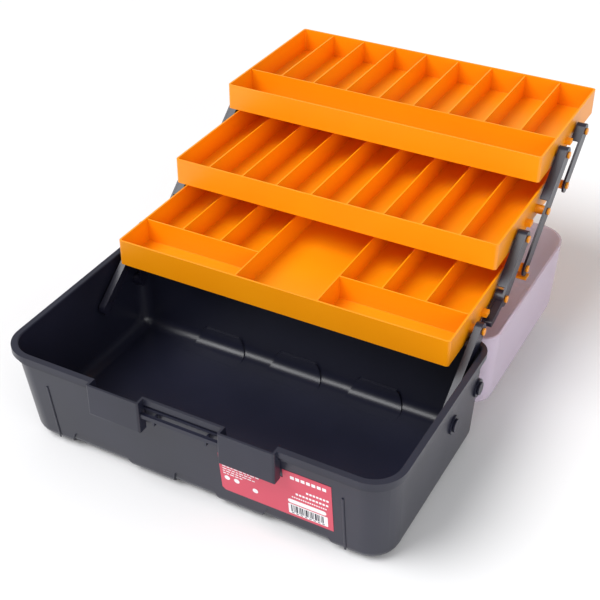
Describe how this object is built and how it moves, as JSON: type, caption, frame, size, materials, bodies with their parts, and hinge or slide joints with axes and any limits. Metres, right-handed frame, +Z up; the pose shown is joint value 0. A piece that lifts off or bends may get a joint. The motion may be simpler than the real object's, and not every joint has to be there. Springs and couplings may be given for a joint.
{
  "type": "cantilever tray box",
  "caption": "Hinged plastic box whose trays fold out on cranked arms, with a translucent lid, a front latch and a carrying handle.",
  "frame": {"origin": "on the resting plane, under the middle of the base", "axes": "+X to the right along the box, -Y towards the latch side, +Z up"},
  "size_m": [0.39, 0.5529, 0.215],
  "materials": {
    "black_plastic": "fine texture",
    "arm_plastic": "satin",
    "orange_plastic": "satin",
    "milky_plastic": "frosted, translucent",
    "pin_steel": "brushed",
    "label_film": "printed film"
  },
  "bodies": {
    "base": {"base_box": "black_plastic", "front_label": "label_film", "lid_hinge_pins": "pin_steel", "front_pivot_pins": "arm_plastic", "main_pivot_pins": "arm_plastic"},
    "lid_body": {"lid": "milky_plastic", "handle_pins": "pin_steel", "latch_pin": "pin_steel"},
    "handle": {"carry_handle": "black_plastic"},
    "latch": {"front_latch": "black_plastic"},
    "front_arms": {"front_arm_left": "arm_plastic", "front_arm_right": "arm_plastic"},
    "main_arms": {"main_arm_left": "arm_plastic", "main_arm_right": "arm_plastic"},
    "upper_arms": {"upper_arm_left": "arm_plastic", "upper_arm_right": "arm_plastic"},
    "short_arms": {"short_arm_left": "arm_plastic", "short_arm_right": "arm_plastic"},
    "tray_lower": {"lower_tray": "orange_plastic"},
    "tray_middle": {"middle_tray": "orange_plastic"},
    "tray_upper": {"upper_tray": "orange_plastic"}
  },
  "joints": [
    {"name": "tray_fold", "type": "hinge", "parent": "base", "child": "main_arms", "pos_m": [0, 0.0913, 0.066], "axis": [1, 0, 0], "range_deg": [0, 114.4]},
    {"name": "front_arm_turn", "type": "hinge", "parent": "base", "child": "front_arms", "pos_m": [0, 0.03342, 0.066], "axis": [1, 0, 0], "range_deg": [0, 114.4]},
    {"name": "lower_tray_level", "type": "hinge", "parent": "main_arms", "child": "tray_lower", "pos_m": [0, 0.1632, 0.11851], "axis": [1, 0, 0], "range_deg": [-114.4, 0]},
    {"name": "middle_tray_level", "type": "hinge", "parent": "main_arms", "child": "tray_middle", "pos_m": [0, 0.21127, 0.15751], "axis": [1, 0, 0], "range_deg": [-114.4, 0]},
    {"name": "upper_arm_turn", "type": "hinge", "parent": "tray_lower", "child": "upper_arms", "pos_m": [0, 0.22107, 0.11851], "axis": [1, 0, 0], "range_deg": [0, 114.4]},
    {"name": "upper_tray_level", "type": "hinge", "parent": "upper_arms", "child": "tray_upper", "pos_m": [0, 0.31722, 0.19651], "axis": [1, 0, 0], "range_deg": [-114.4, 0]},
    {"name": "short_arm_turn", "type": "hinge", "parent": "tray_middle", "child": "short_arms", "pos_m": [0, 0.32703, 0.15751], "axis": [1, 0, 0], "range_deg": [0, 114.4]},
    {"name": "lid_hinge", "type": "hinge", "parent": "base", "child": "lid_body", "pos_m": [0, 0.11, 0.10545], "axis": [1, 0, 0], "range_deg": [0, 3]},
    {"name": "handle_turn", "type": "hinge", "parent": "lid_body", "child": "handle", "pos_m": [0, 0.238, 0.01977], "axis": [1, 0, 0], "range_deg": [-90, 0]},
    {"name": "latch_turn", "type": "hinge", "parent": "lid_body", "child": "latch", "pos_m": [0, 0.3334, 0.0956], "axis": [1, 0, 0], "range_deg": [-3, 171]}
  ],
  "couplings": [
    {"joint": "front_arm_turn", "follows": "tray_fold", "ratio": 1},
    {"joint": "lower_tray_level", "follows": "tray_fold", "ratio": -1},
    {"joint": "middle_tray_level", "follows": "tray_fold", "ratio": -1},
    {"joint": "upper_arm_turn", "follows": "tray_fold", "ratio": 1},
    {"joint": "upper_tray_level", "follows": "tray_fold", "ratio": -1},
    {"joint": "short_arm_turn", "follows": "tray_fold", "ratio": 1}
  ]
}
